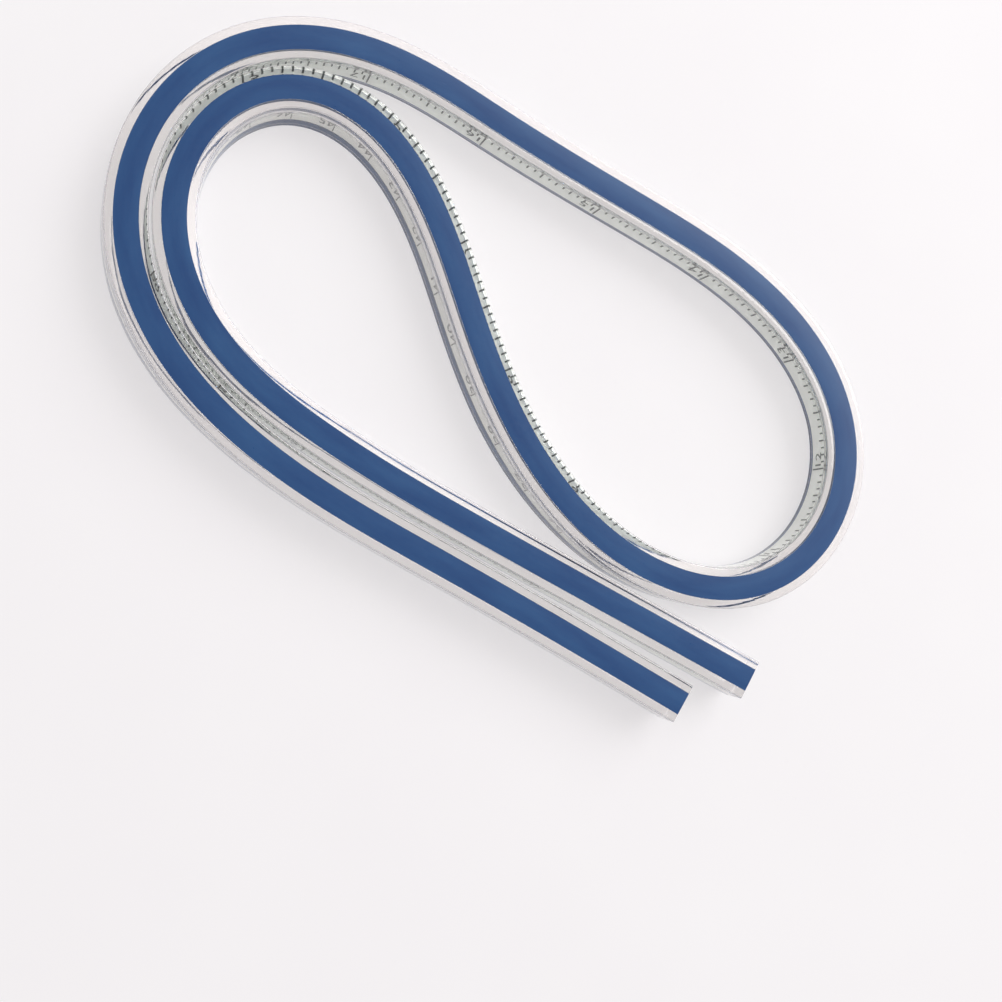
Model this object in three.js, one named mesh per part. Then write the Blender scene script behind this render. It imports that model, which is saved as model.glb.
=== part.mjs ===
// A flexible curve ruler, also called a snake ruler: two clear PVC walls and two blue PVC
// bands make a tube round a lead bar and two spring-steel strips. The inch scale is a film in
// the outer face of its wall, and the centimetre scale a film behind its wall. The ruler lies on
// a table, standing on its narrow edge, bent into a double loop. Millimetres, +Z up; the origin
// is under the middle of the loop, on the table.
//
// Every strip follows the same line over the table, and is cut across at five places. The
// ruler bends at four of them, about upright axes; at the first it stays rigid.

import * as THREE from 'three';

// ---- The ruler ---------------------------------------------------------------------------

const LENGTH = 685;
const HEIGHT = 9.4;

const HALF_WIDTH = 3.95;          // centre to a wall's outer face
const BAND_HALF_WIDTH = 2.15;
const BAND_THICKNESS = 1.75;
const WALL_INNER = 2.25;          // centre to a wall's flat inner face
const WALL_CHAMFER = 0.3;         // on a wall's outer corners

// The inch film lies in a shallow recess in the outer face of its wall.
const RECESS = { depth: 0.35, height: 5.9 };
const INCH_SCALE = { inner: 3.78, outer: 3.88, height: 5.7 };
const CM_SCALE = { inner: 2.0, outer: 2.1, height: 5.7 };
const INCH_START = 4.2;           // where the inch film begins, from each end

const CLEARANCE = 0.1;            // between a band and an end plug
const PLUG_LENGTH = 8;
const PLUG_HALF_WIDTH = 2.12;
const PLUG_GAP = 0.3;             // from a plug to the ends of the strips inside

// Inside the cavity, from the centre out.
const LEAD = { half: 1.5, height: 5.4 };
const SPRING = { inner: 1.62, outer: 1.88, height: 5.5 };

// ---- Where it is cut and how far it bends -------------------------------------------------

// Distances along the ruler. The first cut is fixed; the rest are flex hinges.
const CUTS = [270, 491, 540, 592, 640];
const FIRST_HINGE = 1;
const OPENING_ANGLE = 30 * Math.PI / 180;
const CUT_GAP = 0.3;

// ---- The line that the ruler is bent to ---------------------------------------------------

const START = { x: 119, y: -23, heading: 151.5 * Math.PI / 180 };

// How sharply it bends: [distance along the ruler, degrees of left turn in each 10 mm].
// Between two entries the bend changes evenly.
const BENDS = [
  [0, 0.2], [60, -0.2], [95, -3.0], [120, -12.2], [150, -20.6], [180, -30.6], [210, -10.0],
  [240, 3.2], [270, 8.0], [300, 13.4], [320, 24.8], [350, 20.0], [380, 11.0], [420, 0.0],
  [450, -1.6], [475, 10.8], [500, 18.8], [550, 14.2], [590, 5.6], [630, -0.4], [685, -0.2],
];

// How far it leans: [distance along the ruler, degrees that its top leans to the left]. Its
// top keeps to the line, and its base moves to the right by that slope.
const LEANS = [
  [0, 1.0], [90, 1.0], [125, -3.5], [145, 1.5], [170, 4.5], [200, 5.5], [255, 5.5],
  [285, 1.5], [310, -2.5], [340, 0.0], [360, 3.5], [400, 1.6], [450, 1.2], [500, 0.0],
  [530, 3.0], [555, 4.0], [585, 0.0], [610, -1.5], [685, -1.2],
];

const TRACE_STEP = 0.5;
const MOST_TURN = 9.5 * Math.PI / 180;   // between two cross-sections
const MOST_STEP = 14;                    // likewise, where the ruler is nearly straight
const NEAR_CUT = 3;                      // a section this far from each cut, on both sides

// A table's value at a distance along the ruler.
function valueAt(table, s) {
  let k = 1;
  while (k < table.length - 1 && table[k][0] < s) k += 1;
  const [s0, value0] = table[k - 1];
  const [s1, value1] = table[k];
  return value0 + (value1 - value0) * (s - s0) / (s1 - s0);
}

// In radians per millimetre.
function bendAt(s) {
  return valueAt(BENDS, s) * Math.PI / 180 / 10;
}

// How far the base is to the right of the top, for each millimetre of height.
function slopeAt(s) {
  return Math.tan(valueAt(LEANS, s) * Math.PI / 180);
}

function leftOf(heading) {
  return new THREE.Vector3(-Math.sin(heading), Math.cos(heading), 0);
}

// Follows the bends from the start, then moves the line so that the ruler's box is centred.
function traceLine() {
  const points = [{ ...START }];
  for (let i = 1; i <= LENGTH / TRACE_STEP; i += 1) {
    const last = points[i - 1];
    const turn = TRACE_STEP * (bendAt((i - 1) * TRACE_STEP) + bendAt(i * TRACE_STEP)) / 2;
    const middle = last.heading + turn / 2;
    points.push({
      x: last.x + TRACE_STEP * Math.cos(middle),
      y: last.y + TRACE_STEP * Math.sin(middle),
      heading: last.heading + turn,
    });
  }
  const box = new THREE.Box3();
  points.forEach((p, i) => {
    for (const drop of [WALL_CHAMFER, HEIGHT - WALL_CHAMFER]) {
      for (const side of [-HALF_WIDTH, HALF_WIDTH]) {
        const reach = side - drop * slopeAt(i * TRACE_STEP);
        const corner = leftOf(p.heading).multiplyScalar(reach);
        box.expandByPoint(corner.add(new THREE.Vector3(p.x, p.y, 0)));
      }
    }
  });
  const centre = box.getCenter(new THREE.Vector3());
  return points.map((p) => ({ x: p.x - centre.x, y: p.y - centre.y, heading: p.heading }));
}

const LINE = traceLine();

function lineAt(s) {
  const i = Math.min(Math.floor(s / TRACE_STEP), LINE.length - 2);
  const t = s / TRACE_STEP - i;
  const a = LINE[i];
  const b = LINE[i + 1];
  return {
    x: a.x + (b.x - a.x) * t,
    y: a.y + (b.y - a.y) * t,
    heading: a.heading + (b.heading - a.heading) * t,
  };
}

// Where all strips have a cross-section: close together in a bend, far apart where straight.
function sectionPlaces() {
  const fixed = CUTS.flatMap((cut) => [cut - NEAR_CUT, cut + NEAR_CUT]);
  const places = [0];
  for (let s = TRACE_STEP; s <= LENGTH; s += TRACE_STEP) {
    const last = places[places.length - 1];
    const turned = Math.abs(lineAt(s).heading - lineAt(last).heading);
    if (turned > MOST_TURN || s - last > MOST_STEP || fixed.includes(s)) places.push(s);
  }
  return places;
}

const PLACES = sectionPlaces();
const LEAST_STEP = 0.8;

// One stretch of the line, for an extrusion with a section at each of its places.
class Stretch extends THREE.Curve {
  constructor(from, to) {
    super();
    const between = PLACES.filter((s) => s > from + LEAST_STEP && s < to - LEAST_STEP);
    this.places = [from, ...between, to];
    this.steps = this.places.length - 1;
  }

  placeOf(u) {
    return this.places[Math.round(u * this.steps)];
  }

  // The middle of the ruler's height.
  getPointAt(u) {
    const { x, y, heading } = lineAt(this.placeOf(u));
    const shift = -HEIGHT / 2 * slopeAt(this.placeOf(u));
    return new THREE.Vector3(x, y, HEIGHT / 2).addScaledVector(leftOf(heading), shift);
  }

  getTangentAt(u) {
    const { heading } = lineAt(this.placeOf(u));
    return new THREE.Vector3(Math.cos(heading), Math.sin(heading), 0);
  }

  // A section's first axis points down the leaning ruler, and its second to the left.
  computeFrenetFrames() {
    const frames = { tangents: [], normals: [], binormals: [] };
    for (const s of this.places) {
      const { heading } = lineAt(s);
      const left = leftOf(heading);
      frames.tangents.push(new THREE.Vector3(Math.cos(heading), Math.sin(heading), 0));
      frames.normals.push(new THREE.Vector3(0, 0, -1).addScaledVector(left, -slopeAt(s)));
      frames.binormals.push(left);
    }
    return frames;
  }
}

// ---- Cross-sections -----------------------------------------------------------------------

// A section's points are [height over the table, distance left of the middle].
function pathPoints(points) {
  return points.map(([height, left]) => new THREE.Vector2(HEIGHT / 2 - height, left));
}

function slab(low, high, right, left) {
  return [[low, right], [high, right], [high, left], [low, left]];
}

// A slab on one side of the middle, at half the ruler's height.
function layer({ inner, outer, height }, side) {
  return slab((HEIGHT - height) / 2, (HEIGHT + height) / 2, side * inner, side * outer);
}

function recessOutline() {
  const low = (HEIGHT - RECESS.height) / 2;
  const high = (HEIGHT + RECESS.height) / 2;
  const floor = HALF_WIDTH - RECESS.depth;
  return [[high, HALF_WIDTH], [high, floor], [low, floor], [low, HALF_WIDTH]];
}

// side is 1 for the left wall and -1 for the right one.
function wallSection(side, hasRecess) {
  const outline = [
    [0, WALL_INNER], [HEIGHT, WALL_INNER],
    [HEIGHT, HALF_WIDTH - WALL_CHAMFER], [HEIGHT - WALL_CHAMFER, HALF_WIDTH],
    ...(hasRecess ? recessOutline() : []),
    [WALL_CHAMFER, HALF_WIDTH], [0, HALF_WIDTH - WALL_CHAMFER],
  ];
  return outline.map(([height, left]) => [height, side * left]);
}

// ---- Materials ----------------------------------------------------------------------------

const material = (color, roughness, metalness = 0) => (
  new THREE.MeshStandardMaterial({ color, roughness, metalness })
);

const MATERIALS = {
  clear: new THREE.MeshStandardMaterial({
    color: 0xe9eeea, roughness: 0.12, metalness: 0, transparent: true, opacity: 0.4,
  }),
  blue: material(0x355a92, 0.35),
  paper: material(0xe3efe6, 0.6),
  spring: material(0x9a9da0, 0.3, 1),
  lead: material(0x6c6f73, 0.55, 1),
  plug: material(0xdde4dc, 0.45),
};

// ---- Strips and where they end ------------------------------------------------------------

const CM_SIDE = -1;
const INCH_SIDE = 1;

const INSIDE_START = PLUG_LENGTH + PLUG_GAP;

// Each strip runs the ruler's whole length; start is where its first piece begins.
const STRIPS = [
  { name: 'clear_wall_cm', points: wallSection(CM_SIDE, false), look: 'clear', start: 0 },
  { name: 'clear_wall_inch', points: wallSection(INCH_SIDE, true), look: 'clear', start: 0 },
  {
    name: 'blue_band_top',
    points: slab(HEIGHT - BAND_THICKNESS, HEIGHT, -BAND_HALF_WIDTH, BAND_HALF_WIDTH),
    look: 'blue',
    start: 0,
  },
  {
    name: 'blue_band_base',
    points: slab(0, BAND_THICKNESS, -BAND_HALF_WIDTH, BAND_HALF_WIDTH),
    look: 'blue',
    start: 0,
  },
  { name: 'scale_strip_cm', points: layer(CM_SCALE, CM_SIDE), look: 'paper' },
  {
    name: 'scale_strip_inch',
    points: layer(INCH_SCALE, INCH_SIDE),
    look: 'paper',
    start: INCH_START,
  },
  { name: 'spring_strip_cm', points: layer(SPRING, CM_SIDE), look: 'spring' },
  { name: 'spring_strip_inch', points: layer(SPRING, INCH_SIDE), look: 'spring' },
  {
    name: 'lead_core',
    points: layer({ inner: -LEAD.half, outer: LEAD.half, height: LEAD.height }, 1),
    look: 'lead',
  },
];

// When a hinge opens, the right-hand sides close up, so each piece is cut back by how far
// right it reaches there, times the tangent of half the angle.
function cutBack(points, cut) {
  if (CUTS.indexOf(cut) < FIRST_HINGE) return CUT_GAP / 2;
  const reaches = points.map(([height, left]) => (HEIGHT - height) * slopeAt(cut) - left);
  return CUT_GAP / 2 + Math.max(0, ...reaches) * Math.tan(OPENING_ANGLE / 2);
}

function extrude(points, from, to) {
  const path = new Stretch(from, to);
  return new THREE.ExtrudeGeometry(new THREE.Shape(pathPoints(points)), {
    steps: path.steps, extrudePath: path, bevelEnabled: false,
  });
}

function addMesh(group, name, geometry, look) {
  const mesh = new THREE.Mesh(geometry, MATERIALS[look].clone());
  mesh.name = name;
  group.add(mesh);
}

function addStrip(group, { name, points, look, start = INSIDE_START }) {
  const ends = [0, ...CUTS, LENGTH];
  for (let k = 0; k < ends.length - 1; k += 1) {
    const isFirst = k === 0;
    const isLast = k === ends.length - 2;
    const from = isFirst ? start : ends[k] + cutBack(points, ends[k]);
    const to = isLast ? LENGTH - start : ends[k + 1] - cutBack(points, ends[k + 1]);
    addMesh(group, `${name}_${k + 1}`, extrude(points, from, to), look);
  }
}

function addPlug(group, name, from, to) {
  const low = BAND_THICKNESS + CLEARANCE;
  const points = slab(low, HEIGHT - low, -PLUG_HALF_WIDTH, PLUG_HALF_WIDTH);
  addMesh(group, name, extrude(points, from, to), 'plug');
}

const ruler = new THREE.Group();
ruler.name = 'flexible_curve_ruler';
for (const strip of STRIPS) addStrip(ruler, strip);
addPlug(ruler, 'end_plug_a', 0, PLUG_LENGTH);
addPlug(ruler, 'end_plug_b', LENGTH - PLUG_LENGTH, LENGTH);

export default ruler;
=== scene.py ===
# Looks for the flexible curve ruler: two clear PVC walls and two blue PVC bands round a lead
# and steel core. The inch scale is a film inside its wall, and the centimetre scale a film
# behind its wall. Every strip is swept along the line that the CAD strips follow. The sweeps are
# whole across the CAD cuts: a strip is parted only midway between two hinges, and a part that
# crosses a hinge stays where it is swept, on no body.
# Lengths are in metres; MM turns millimetres into them.

import math

import bpy
import numpy as np
from mathutils import Matrix, Vector


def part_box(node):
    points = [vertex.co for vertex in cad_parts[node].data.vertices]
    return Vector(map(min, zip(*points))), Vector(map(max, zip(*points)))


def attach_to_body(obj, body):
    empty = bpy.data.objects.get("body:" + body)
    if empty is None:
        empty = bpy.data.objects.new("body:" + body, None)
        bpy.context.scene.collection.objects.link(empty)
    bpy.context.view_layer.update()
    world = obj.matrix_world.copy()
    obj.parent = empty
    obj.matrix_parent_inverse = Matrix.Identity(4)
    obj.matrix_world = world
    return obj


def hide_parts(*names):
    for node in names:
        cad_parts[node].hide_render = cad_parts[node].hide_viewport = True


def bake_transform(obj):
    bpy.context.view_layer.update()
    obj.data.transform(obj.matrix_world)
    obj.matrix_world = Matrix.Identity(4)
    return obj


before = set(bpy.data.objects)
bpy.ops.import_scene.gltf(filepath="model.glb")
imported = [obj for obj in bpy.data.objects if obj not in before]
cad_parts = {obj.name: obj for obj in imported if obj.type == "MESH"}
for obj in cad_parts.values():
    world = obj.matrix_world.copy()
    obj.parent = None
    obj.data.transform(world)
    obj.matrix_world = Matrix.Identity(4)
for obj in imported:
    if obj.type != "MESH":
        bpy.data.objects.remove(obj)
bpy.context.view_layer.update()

MM = 0.001

# ---- The ruler, as in the CAD source --------------------------------------------------------

LENGTH = 685 * MM
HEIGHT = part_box("clear_wall_cm_1")[1].z
HALF_WIDTH = 3.95 * MM            # centre to a wall's outer face
SHOULDER = 0.3 * MM               # radius of a wall's outer corners
WALL_INNER = 2.25 * MM            # centre to a wall's flat inner face
BAND_THICKNESS = 1.75 * MM
PLUG_LENGTH = 8 * MM
INSIDE_START = PLUG_LENGTH + 0.3 * MM   # where the strips inside begin, from each end

START = Vector((119 * MM, -23 * MM))
START_HEADING = math.radians(151.5)

# How sharply it bends: (millimetres along the ruler, degrees of left turn in each 10 mm).
BENDS = [
    (0, 0.2), (60, -0.2), (95, -3.0), (120, -12.2), (150, -20.6), (180, -30.6),
    (210, -10.0), (240, 3.2), (270, 8.0), (300, 13.4), (320, 24.8), (350, 20.0),
    (380, 11.0), (420, 0.0), (450, -1.6), (475, 10.8), (500, 18.8), (550, 14.2),
    (590, 5.6), (630, -0.4), (685, -0.2),
]
TRACE_STEP = 0.5 * MM

# How far it leans: (millimetres along the ruler, degrees that its top leans to the left). The
# top keeps to the line, and the base moves.
LEANS = [
    (0, 1.0), (90, 1.0), (125, -3.5), (145, 1.5), (170, 4.5), (200, 5.5), (255, 5.5),
    (285, 1.5), (310, -2.5), (340, 0.0), (360, 3.5), (400, 1.6), (450, 1.2), (500, 0.0),
    (530, 3.0), (555, 4.0), (585, 0.0), (610, -1.5), (685, -1.2),
]

CM_SIDE = -1
INCH_SIDE = 1
SIDES = {"cm": CM_SIDE, "inch": INCH_SIDE}

# ---- The parts that each strip is made in ---------------------------------------------------

# Each part: where it ends, its bodies, its hinge if it has one, and the CAD stretches that it
# stands for. BEND_BEFORE and BEND_AFTER give points in front of and behind a hinge, which nothing
# uses.
BEND_BEFORE = 4 * MM
BEND_AFTER = 15 * MM
PARTS = [
    {"end": 465 * MM, "bodies": ("root",), "stretches": (1, 2)},
    {"end": 515.5 * MM, "bodies": ("root", "ring_upper"), "hinge": 491 * MM, "stretches": (3,)},
    {"end": 566 * MM, "bodies": ("ring_upper", "ring_lower"), "hinge": 540 * MM, "stretches": (4,)},
    {"end": 616 * MM, "bodies": ("ring_lower", "return_strand"), "hinge": 592 * MM, "stretches": (5,)},
    {"end": LENGTH, "bodies": ("return_strand", "tail"), "hinge": 640 * MM, "stretches": (6,)},
]


# ---- The line -------------------------------------------------------------------------------

def trace_line():
    """Distances along the ruler, and the line's x, y and heading at each of them. The line is
    placed so that the leaning ruler's box is centred."""
    along = np.arange(0, LENGTH + TRACE_STEP / 2, TRACE_STEP)
    table = np.array(BENDS, float)
    bend = np.radians(np.interp(along, table[:, 0] * MM, table[:, 1])) / (10 * MM)
    turns = TRACE_STEP * (bend[1:] + bend[:-1]) / 2
    heading = START_HEADING + np.concatenate([[0], np.cumsum(turns)])
    middle = (heading[1:] + heading[:-1]) / 2
    x = START.x + np.concatenate([[0], np.cumsum(TRACE_STEP * np.cos(middle))])
    y = START.y + np.concatenate([[0], np.cumsum(TRACE_STEP * np.sin(middle))])
    lean = np.tan(np.radians(np.interp(along, LEAN_PLACES * MM, LEAN_DEGREES)))
    reach = np.stack([side * HALF_WIDTH - drop * lean
                      for side in (-1, 1) for drop in (SHOULDER, HEIGHT - SHOULDER)])
    reach_x, reach_y = x - reach * np.sin(heading), y + reach * np.cos(heading)
    x = x - (reach_x.min() + reach_x.max()) / 2
    y = y - (reach_y.min() + reach_y.max()) / 2
    return along, x, y, heading


LEAN_PLACES, LEAN_DEGREES = np.array(LEANS, float).T
ALONG, LINE_X, LINE_Y, HEADING = trace_line()


def on_line(along, left, height):
    """Points in the row frame: this far along the ruler, left of its line and above the table."""
    heading = np.interp(along, ALONG, HEADING)
    lean = np.tan(np.radians(np.interp(along, LEAN_PLACES * MM, LEAN_DEGREES)))
    left = left - (HEIGHT - height) * lean
    x = np.interp(along, ALONG, LINE_X) - left * np.sin(heading)
    y = np.interp(along, ALONG, LINE_Y) + left * np.cos(heading)
    return np.stack(np.broadcast_arrays(x, y, height), axis=-1)


# ---- Meshes ---------------------------------------------------------------------------------

STEP = 1.0 * MM          # between two cross-sections of a sweep
SEAM_STEP = 0.05 * MM    # next to a part's end, so that shading runs on across the seam
SHARP_ANGLE = math.radians(40)


def finished_object(name, mesh, material):
    mesh.validate()
    mesh.materials.append(material)
    mesh.shade_smooth()
    mesh.set_sharp_from_angle(angle=SHARP_ANGLE)
    piece = bpy.data.objects.new(name, mesh)
    bpy.context.scene.collection.objects.link(piece)
    return piece


def sweep(name, section, start, end, material, caps=(True, True)):
    """Carries a closed section of (left, height) points along the line, from start to end.
    Its UV map is the distance along the ruler and the distance round the section."""
    inner = np.linspace(start + SEAM_STEP, end - SEAM_STEP, 2 + round((end - start) / STEP))
    places = np.concatenate([[start], inner, [end]])
    section = np.array(section, float)
    count, rows = len(section), len(places)
    points = on_line(places[:, None], section[None, :, 0], section[None, :, 1])
    here = np.arange(count)
    after = (here + 1) % count
    first = (np.arange(rows - 1) * count)[:, None]
    quads = np.stack([first + here, first + after, first + count + after, first + count + here], -1)
    faces = quads.reshape(-1, 4).tolist()
    edges = np.linalg.norm(section[after] - section, axis=1)
    around = np.concatenate([[0], np.cumsum(edges)])
    u = np.broadcast_to(places[:, None], (rows, count))
    v_here, v_after = around[:-1], around[1:]
    quad_uv = np.stack([
        np.stack([u[:-1], np.broadcast_to(v_here, u[:-1].shape)], -1),
        np.stack([u[:-1], np.broadcast_to(v_after, u[:-1].shape)], -1),
        np.stack([u[1:], np.broadcast_to(v_after, u[1:].shape)], -1),
        np.stack([u[1:], np.broadcast_to(v_here, u[1:].shape)], -1),
    ], axis=2).reshape(-1, 2)
    uv = [quad_uv]
    if caps[0]:
        faces.append(list(range(count - 1, -1, -1)))
        uv.append(section[::-1])
    if caps[1]:
        faces.append(list(range((rows - 1) * count, rows * count)))
        uv.append(section)
    mesh = bpy.data.meshes.new(name)
    mesh.from_pydata(points.reshape(-1, 3).tolist(), [], faces)
    layer = mesh.uv_layers.new(name="strip")
    layer.data.foreach_set("uv", np.concatenate(uv).astype(np.float32).ravel())
    return finished_object(name, mesh, material)


def arc(centre, radius, start_deg, end_deg, steps):
    turn = np.radians(np.linspace(start_deg, end_deg, steps + 1))
    return [(centre[0] + radius * math.cos(a), centre[1] + radius * math.sin(a)) for a in turn]


def rounded_slab(low, high, right, left, radius, steps=3):
    """A rectangle with round corners, anticlockwise, as (left, height) points."""
    return (
        arc((right + radius, low + radius), radius, 180, 270, steps)
        + arc((left - radius, low + radius), radius, 270, 360, steps)
        + arc((left - radius, high - radius), radius, 0, 90, steps)
        + arc((right + radius, high - radius), radius, 90, 180, steps)
    )


# ---- Sections -------------------------------------------------------------------------------

WALL_EDGE = 0.08 * MM         # radius where a wall meets a band
SHOULDER_STEPS = 8
BOND = 0.02 * MM              # how far a band runs into the wall that it is welded to
BAND_CROWN = 0.05 * MM        # how much lower a band's edges are than its middle
BAND_STEPS = 10
PLUG_GAP = 0.04 * MM          # between a plug and the faces of the cavity
PLUG_EDGE = 0.15 * MM         # radius of a plug's edges
PLUG_RECESS = 0.15 * MM       # from the ruler's end to the plug's


def wall_section(side):
    """Flat on both sides, with round outer corners; the left wall, or mirrored, the right."""
    middle = HALF_WIDTH - SHOULDER
    points = arc((WALL_INNER + WALL_EDGE, WALL_EDGE), WALL_EDGE, 180, 270, 3)
    points += arc((middle, SHOULDER), SHOULDER, 270, 360, SHOULDER_STEPS)
    points += arc((middle, HEIGHT - SHOULDER), SHOULDER, 0, 90, SHOULDER_STEPS)
    points += arc((WALL_INNER + WALL_EDGE, HEIGHT - WALL_EDGE), WALL_EDGE, 90, 180, 3)
    if side == INCH_SIDE:
        return points
    return [(-left, height) for left, height in reversed(points)]


def band_section(side):
    """side is 1 for the top band and -1 for the base band."""
    half = WALL_INNER + BOND
    outer = [
        (half * t, HEIGHT - BAND_CROWN * t * t) for t in np.linspace(1, -1, BAND_STEPS + 1)
    ]
    inner = [(-half, HEIGHT - BAND_THICKNESS), (half, HEIGHT - BAND_THICKNESS)]
    points = inner + outer
    if side == 1:
        return points
    return [(left, HEIGHT - height) for left, height in reversed(points)]


# Inner and outer faces are from the centre.
SPRING = {"inner": 1.62 * MM, "outer": 1.88 * MM, "height": 5.5 * MM}
LEAD = {"half": 1.5 * MM, "height": 5.4 * MM}

# The inch film lies just under the outer face of its wall, the centimetre film behind its wall.
FILMS = {
    CM_SIDE: {"inner": 2.0 * MM, "outer": 2.1 * MM},
    INCH_SIDE: {"inner": 3.78 * MM, "outer": 3.88 * MM},
}
FILM_STARTS = {CM_SIDE: INSIDE_START, INCH_SIDE: 4.2 * MM}
FILM_LOW = 1.85 * MM
FILM_HIGH = HEIGHT - FILM_LOW
FILM_THICKNESS = FILMS[CM_SIDE]["outer"] - FILMS[CM_SIDE]["inner"]


def film_section(side):
    right, left = sorted(side * face for face in FILMS[side].values())
    return rounded_slab(FILM_LOW, FILM_HIGH, right, left, 0.03 * MM, 2)


def spring_section(side):
    right, left = sorted((side * SPRING["inner"], side * SPRING["outer"]))
    half = SPRING["height"] / 2
    return rounded_slab(HEIGHT / 2 - half, HEIGHT / 2 + half, right, left, 0.1 * MM, 2)


def lead_section():
    half = LEAD["height"] / 2
    return rounded_slab(HEIGHT / 2 - half, HEIGHT / 2 + half, -LEAD["half"], LEAD["half"], 0.25 * MM)


# ---- Materials ------------------------------------------------------------------------------

def node(tree, kind, inputs=None, **properties):
    """A new node. An input's value is a number, a tuple, or another node's output."""
    made = tree.nodes.new(kind)
    for name, value in properties.items():
        setattr(made, name, value)
    for name, value in (inputs or {}).items():
        if isinstance(value, bpy.types.NodeSocket):
            tree.links.new(value, made.inputs[name])
        else:
            made.inputs[name].default_value = value
    return made


def new_material(name, **sockets):
    """A Principled material, and the values set on the shader's own sockets."""
    material = bpy.data.materials.new(name)
    material.use_nodes = True
    tree = material.node_tree
    shader = tree.nodes["Principled BSDF"]
    for socket, value in sockets.items():
        shader.inputs[socket.replace("_", " ")].default_value = value
    return material, tree, shader


def strip_coordinates(tree, along_scale, around_scale):
    """The strip's UV map, in metres, stretched so that a texture runs along the ruler."""
    uv = node(tree, "ShaderNodeUVMap", uv_map="strip")
    return node(tree, "ShaderNodeVectorMath", {
        0: uv.outputs["UV"], 1: (along_scale, around_scale, 1),
    }, operation="MULTIPLY").outputs["Vector"]


def noise(tree, vector, scale, detail=2.0, roughness=0.5):
    return node(tree, "ShaderNodeTexNoise", {
        "Vector": vector, "Scale": scale, "Detail": detail, "Roughness": roughness,
    }).outputs["Fac"]


def remap(tree, value, low, high, to_low, to_high):
    return node(tree, "ShaderNodeMapRange", {
        "Value": value, "From Min": low, "From Max": high, "To Min": to_low, "To Max": to_high,
    }).outputs["Result"]


def mix_colour(tree, factor, a, b):
    mixer = node(tree, "ShaderNodeMix", {"Factor": factor, "A": a, "B": b}, data_type="RGBA")
    return mixer.outputs["Result"]


def bump(tree, shader, height, strength, distance):
    made = node(tree, "ShaderNodeBump", {
        "Height": height, "Strength": strength, "Distance": distance,
    })
    tree.links.new(made.outputs["Normal"], shader.inputs["Normal"])


def scratches(tree, seed, density):
    """Thin hairlines at random slants: 1 on a line, 0 elsewhere."""
    uv = node(tree, "ShaderNodeUVMap", uv_map="strip").outputs["UV"]
    turned = node(tree, "ShaderNodeMapping", {
        "Vector": uv, "Location": (seed, seed * 2, 0), "Rotation": (0, 0, 0.3 * seed),
        "Scale": (90, 900, 1),
    }).outputs["Vector"]
    lines = node(tree, "ShaderNodeTexNoise", {"Vector": turned, "Scale": 1.0, "Detail": 3.0})
    return remap(tree, lines.outputs["Fac"], 1 - density, 1 - density + 0.03, 0, 1)


def let_lamps_through(tree, shader, colour):
    """A lamp's light passes through a clear piece, so its shadow is faint."""
    passing = node(tree, "ShaderNodeBsdfTransparent", {"Color": colour})
    path = node(tree, "ShaderNodeLightPath")
    either = node(tree, "ShaderNodeMixShader", {
        0: path.outputs["Is Shadow Ray"], 1: shader.outputs["BSDF"], 2: passing.outputs["BSDF"],
    })
    tree.links.new(either.outputs["Shader"], tree.nodes["Material Output"].inputs["Surface"])


def clear_pvc():
    material, tree, shader = new_material(
        "clear PVC", Base_Color=(0.985, 0.958, 0.940, 1), Transmission_Weight=1.0, IOR=1.53,
    )
    draw_lines = noise(tree, strip_coordinates(tree, 12, 5000), 1.0, 2.0)
    haze = noise(tree, strip_coordinates(tree, 300, 900), 1.0, 3.0)
    tree.links.new(remap(tree, haze, 0.3, 0.75, 0.015, 0.07), shader.inputs["Roughness"])
    bump(tree, shader, draw_lines, 0.25, 0.02 * MM)
    let_lamps_through(tree, shader, (0.93, 0.92, 0.91, 1))
    return material


def blue_pvc():
    material, tree, shader = new_material("blue PVC", IOR=1.5)
    broad = noise(tree, strip_coordinates(tree, 60, 300), 1.0, 3.0)
    colour = mix_colour(
        tree, remap(tree, broad, 0.3, 0.7, 0, 1),
        (0.012, 0.064, 0.208, 1), (0.024, 0.096, 0.256, 1),
    )
    marks = scratches(tree, 1.7, 0.24)
    colour = mix_colour(tree, remap(tree, marks, 0, 1, 0, 0.35), colour, (0.10, 0.19, 0.38, 1))
    tree.links.new(colour, shader.inputs["Base Color"])
    grain = noise(tree, strip_coordinates(tree, 900, 2600), 1.0, 3.0)
    tree.links.new(remap(tree, grain, 0.2, 0.8, 0.26, 0.44), shader.inputs["Roughness"])
    bump(tree, shader, grain, 0.15, 0.02 * MM)
    return material


def scale_film():
    """Translucent. Its faint glow is painted light: an even emission that stands in for the light that
    spreads inside it.
    """
    material, tree, shader = new_material(
        "scale film", Roughness=0.9, IOR=1.53, Transmission_Weight=0.35,
        Emission_Color=(0.92, 0.94, 0.92, 1), Emission_Strength=0.10,
    )
    mottle = noise(tree, strip_coordinates(tree, 500, 500), 1.0, 4.0)
    colour = mix_colour(tree, mottle, (0.93, 0.955, 0.93, 1), (0.96, 0.98, 0.96, 1))
    tree.links.new(colour, shader.inputs["Base Color"])
    bump(tree, shader, mottle, 0.1, 0.01 * MM)
    return material


def printed_ink():
    material, tree, shader = new_material("printed ink", Roughness=0.5)
    position = node(tree, "ShaderNodeNewGeometry").outputs["Position"]
    cover = noise(tree, position, 4000, 3.0)
    colour = mix_colour(tree, remap(tree, cover, 0.35, 0.7, 0, 1),
                        (0.030, 0.045, 0.042, 1), (0.075, 0.095, 0.088, 1))
    tree.links.new(colour, shader.inputs["Base Color"])
    return material


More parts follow.
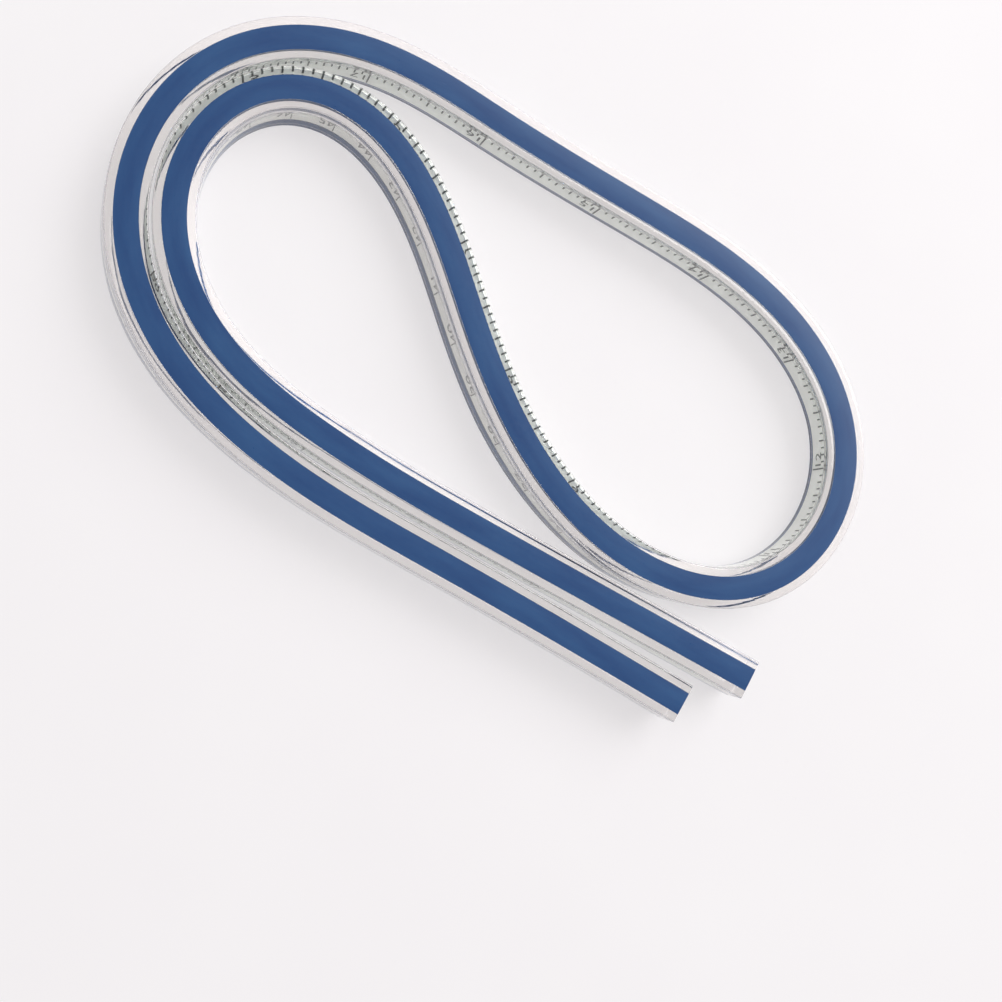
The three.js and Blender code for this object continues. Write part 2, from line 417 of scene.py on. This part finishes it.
def spring_steel():
    material, tree, shader = new_material("spring steel", Metallic=1.0)
    rolled = noise(tree, strip_coordinates(tree, 20, 9000), 1.0, 3.0)
    colour = mix_colour(tree, rolled, (0.52, 0.53, 0.55, 1), (0.68, 0.69, 0.70, 1))
    tree.links.new(colour, shader.inputs["Base Color"])
    tree.links.new(remap(tree, rolled, 0.2, 0.8, 0.22, 0.42), shader.inputs["Roughness"])
    bump(tree, shader, rolled, 0.2, 0.005 * MM)
    return material


def lead_metal():
    material, tree, shader = new_material("lead", Metallic=0.85)
    dull = noise(tree, strip_coordinates(tree, 400, 900), 1.0, 4.0)
    colour = mix_colour(tree, dull, (0.16, 0.165, 0.175, 1), (0.30, 0.305, 0.315, 1))
    tree.links.new(colour, shader.inputs["Base Color"])
    tree.links.new(remap(tree, dull, 0.2, 0.8, 0.45, 0.7), shader.inputs["Roughness"])
    bump(tree, shader, dull, 0.4, 0.03 * MM)
    return material


def plug_pvc():
    material, tree, shader = new_material(
        "plug PVC", Base_Color=(0.86, 0.88, 0.86, 1), Transmission_Weight=0.55, IOR=1.5,
    )
    cloud = noise(tree, strip_coordinates(tree, 600, 600), 1.0, 4.0)
    tree.links.new(remap(tree, cloud, 0.3, 0.7, 0.25, 0.5), shader.inputs["Roughness"])
    bump(tree, shader, cloud, 0.2, 0.03 * MM)
    return material


def table_top():
    """A light table: most of its light comes up through it, so shadows on it are faint."""
    material, tree, shader = new_material("table", Roughness=0.7, Emission_Strength=0.60)
    position = node(tree, "ShaderNodeNewGeometry").outputs["Position"]
    mottle = noise(tree, position, 25, 3.0)
    colour = mix_colour(tree, mottle, (0.34, 0.33, 0.34, 1), (0.36, 0.355, 0.36, 1))
    glow = mix_colour(tree, mottle, (0.98, 0.955, 0.965, 1), (1.0, 0.98, 0.985, 1))
    tree.links.new(colour, shader.inputs["Base Color"])
    tree.links.new(glow, shader.inputs["Emission Color"])
    return material


# ---- Printed scales -------------------------------------------------------------------------

PRINT_PROUD = 0.025 * MM      # the print goes through the film, and shows on both sides
PRINT_THICKNESS = FILM_THICKNESS + 2 * PRINT_PROUD
LONG_TICK = 5.3 * MM
FIGURE_SIZE = 3.9 * MM                   # text size that gives figures 2.85 mm tall
FIGURE_OFFSET = 1.9 * MM                 # a figure's middle, from its tick
FIGURE_BASE = 1.5 * MM                   # over the film's edge that the ticks stand on
ZERO_MARGIN = 45 * MM                    # a scale's zero, from the end it starts at

CM_TICKS = {10: LONG_TICK, 5: 2.3 * MM, 1: 1.25 * MM}
INCH_TICKS = {16: LONG_TICK, 8: 2.6 * MM, 4: 2.2 * MM, 2: 1.8 * MM, 1: 1.4 * MM}
SCALES = {
    "cm": {"unit": 1 * MM, "count": 600, "per_figure": 10, "ticks": CM_TICKS, "width": 0.22 * MM},
    "inch": {"unit": 25.4 / 16 * MM, "count": 384, "per_figure": 16, "ticks": INCH_TICKS,
             "width": 0.32 * MM},
}


def scale_to_ruler(side, distances):
    """Turns distances from a scale's zero into distances along the ruler. The ruler lies upside
    down, so the inch scale runs from end A, and the centimetre scale from end B."""
    if side == INCH_SIDE:
        return ZERO_MARGIN + distances
    return LENGTH - ZERO_MARGIN - distances


def flat_tick(middle, width, height):
    """One tick as a thin slab: its (distance, height over the film's edge, level) points and
    its faces."""
    corners = [(-1, 0), (1, 0), (1, 1), (-1, 1)]
    points = [
        (middle + x * width / 2, y * height, level)
        for level in (0, PRINT_THICKNESS) for x, y in corners
    ]
    faces = [(3, 2, 1, 0), (4, 5, 6, 7), (0, 1, 5, 4), (1, 2, 6, 5), (2, 3, 7, 6), (3, 0, 4, 7)]
    return np.array(points), faces


def flat_figure(text, middle):
    """The same for a printed number, from the built-in sans-serif font."""
    curve = bpy.data.curves.new("figure", "FONT")
    curve.body = text
    curve.size = FIGURE_SIZE
    curve.align_x = "CENTER"
    curve.extrude = PRINT_THICKNESS / 2
    holder = bpy.data.objects.new("figure", curve)
    bpy.context.scene.collection.objects.link(holder)
    mesh = bpy.data.meshes.new_from_object(
        holder.evaluated_get(bpy.context.evaluated_depsgraph_get())
    )
    points = np.array([v.co for v in mesh.vertices])
    points += (middle, FIGURE_BASE, PRINT_THICKNESS / 2)
    faces = [tuple(p.vertices) for p in mesh.polygons]
    bpy.data.objects.remove(holder)
    bpy.data.meshes.remove(mesh)
    bpy.data.curves.remove(curve)
    return points, faces


def tick_height(index, ticks):
    return next(height for every, height in ticks.items() if index % every == 0)


def scale_marks(unit, count, per_figure, ticks, width):
    """Every mark of a scale: its middle's distance from zero, its flat points and faces."""
    marks = []
    for index in range(count + 1):
        middle = index * unit
        marks.append((middle, *flat_tick(middle, width, tick_height(index, ticks))))
        if index % per_figure == 0:
            middle += FIGURE_OFFSET
            marks.append((middle, *flat_figure(str(index // per_figure), middle)))
    return marks


def printed_part(name, side, marks, start, end, material):
    """The marks whose middles lie in this part of the ruler, as one mesh on the film."""
    points, faces = [], []
    for middle, flat, mark_faces in marks:
        if not start <= scale_to_ruler(side, middle) < end:
            continue
        along = scale_to_ruler(side, flat[:, 0])
        left = side * (FILMS[side]["inner"] - PRINT_PROUD + flat[:, 2])
        offset = sum(len(p) for p in points)
        points.append(on_line(along, left, FILM_HIGH - flat[:, 1]))
        faces += [tuple(offset + i for i in face) for face in mark_faces]
    mesh = bpy.data.meshes.new(name)
    mesh.from_pydata(np.concatenate(points).tolist(), [], faces)
    return finished_object(name, mesh, material)


# ---- Putting the pieces on their bodies -----------------------------------------------------

def attach(piece, part, nodes):
    """Rides a piece on its part's body, or, where the part has a hinge, leaves it where it is swept,
    on no body.
    """
    bodies = part["bodies"]
    if len(bodies) == 1:
        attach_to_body(piece, bodies[0])
    else:
        start = on_line(part["hinge"] - BEND_BEFORE, 0, HEIGHT / 2)
        end = on_line(part["hinge"] + BEND_AFTER, 0, HEIGHT / 2)
        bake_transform(piece)
    if nodes:
        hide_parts(*nodes)


def build_strips():
    looks = {
        "clear": clear_pvc(), "blue": blue_pvc(), "film": scale_film(), "ink": printed_ink(),
        "steel": spring_steel(), "lead": lead_metal(),
    }
    strips = []
    for name, side in SIDES.items():
        strips += [
            (f"clear_wall_{name}", wall_section(side), "clear", "clear_pvc", 0),
            (f"scale_strip_{name}", film_section(side), "film", "scale_film", FILM_STARTS[side]),
            (f"spring_strip_{name}", spring_section(side), "steel", "spring_steel", INSIDE_START),
        ]
    strips += [
        ("blue_band_top", band_section(1), "blue", "blue_pvc", 0),
        ("blue_band_base", band_section(-1), "blue", "blue_pvc", 0),
        ("lead_core", lead_section(), "lead", "lead", INSIDE_START),
    ]
    marks = {name: scale_marks(**SCALES[name]) for name in SIDES}
    part_start = 0
    for number, part in enumerate(PARTS):
        is_first, is_last = number == 0, number == len(PARTS) - 1
        for name, section, look, slot, margin in strips:
            start = margin if is_first else part_start
            end = LENGTH - margin if is_last else part["end"]
            piece = sweep(
                f"{name}_part_{number + 1}", section, start, end, looks[look],
                caps=(is_first, is_last),
            )
            attach(piece, part, [f"{name}_{k}" for k in part["stretches"]])
        for name, side in SIDES.items():
            piece = printed_part(
                f"scale_print_{name}_part_{number + 1}", side, marks[name],
                part_start, part["end"], looks["ink"],
            )
            attach(piece, part, [])
        part_start = part["end"]


def build_plugs():
    """Cloudy blocks, tight in the cavity's ends."""
    material = plug_pvc()
    low = BAND_THICKNESS + PLUG_GAP
    half = WALL_INNER - PLUG_GAP
    section = rounded_slab(low, HEIGHT - low, -half, half, PLUG_EDGE)
    plug_a = sweep("plug_a", section, PLUG_RECESS, PLUG_LENGTH, material)
    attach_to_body(plug_a, "root")
    plug_b = sweep("plug_b", section, LENGTH - PLUG_LENGTH, LENGTH - PLUG_RECESS, material)
    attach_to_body(plug_b, "tail")
    for piece, cad_node in ((plug_a, "end_plug_a"), (plug_b, "end_plug_b")):
        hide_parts(cad_node)


# ---- Table, lights and camera ---------------------------------------------------------------

TABLE_GAP = 0.02 * MM       # air under the ruler
TABLE_SIZE = 3.0


def build_table():
    half = TABLE_SIZE / 2
    corners = [(-half, -half), (half, -half), (half, half), (-half, half)]
    mesh = bpy.data.meshes.new("table_top")
    mesh.from_pydata([(x, y, -TABLE_GAP) for x, y in corners], [], [(0, 1, 2, 3)])
    mesh.materials.append(table_top())
    table = bpy.data.objects.new("table_top", mesh)
    bpy.context.scene.collection.objects.link(table)


def area_light(name, place, aim, size, power, colour):
    data = bpy.data.lights.new(name, "AREA")
    data.shape = "RECTANGLE"
    data.size, data.size_y = size
    data.energy = power
    data.color = colour
    light = bpy.data.objects.new(name, data)
    light.location = place
    light.rotation_euler = (Vector(aim) - Vector(place)).to_track_quat("-Z", "Y").to_euler()
    bpy.context.scene.collection.objects.link(light)


def build_lights():
    world = bpy.data.worlds.new("studio")
    bpy.context.scene.world = world
    world.use_nodes = True
    background = world.node_tree.nodes["Background"]
    background.inputs["Color"].default_value = (1.0, 0.955, 0.975, 1)
    background.inputs["Strength"].default_value = 0.45
    area_light("key", (0.75, 0.55, 0.8), (0, 0, 0), (0.9, 0.9), 12.5, (1.0, 1.0, 0.99))


# The camera looks down at the table from over the left-hand ring. Its place and the point on
# the table that it looks at; its horizontal axis has no part along the frame's Y.
CAMERA_PLACE = Vector((-70.13, -34.55, 302.80)) * MM
CAMERA_AIM = Vector((1.74, -23.07, 0.0)) * MM
SENSOR_WIDTH = 36.0
LENS = 58.195


def build_camera():
    data = bpy.data.cameras.new("camera")
    data.sensor_width = SENSOR_WIDTH
    data.lens = LENS
    data.clip_start = 0.01
    camera = bpy.data.objects.new("camera", data)
    forward = (CAMERA_AIM - CAMERA_PLACE).normalized()
    right = Vector((-forward.z, 0, forward.x)).normalized()
    up = right.cross(forward)
    rotation = Matrix((right, up, -forward)).transposed()
    camera.matrix_world = Matrix.Translation(CAMERA_PLACE) @ rotation.to_4x4()
    bpy.context.scene.collection.objects.link(camera)
    bpy.context.scene.camera = camera


bpy.context.scene.view_settings.view_transform = "Standard"
bpy.context.scene.cycles.glossy_bounces = 12
bpy.context.scene.cycles.max_bounces = 16
bpy.context.scene.cycles.transmission_bounces = 16
build_camera()
build_table()
build_lights()
build_strips()
build_plugs()
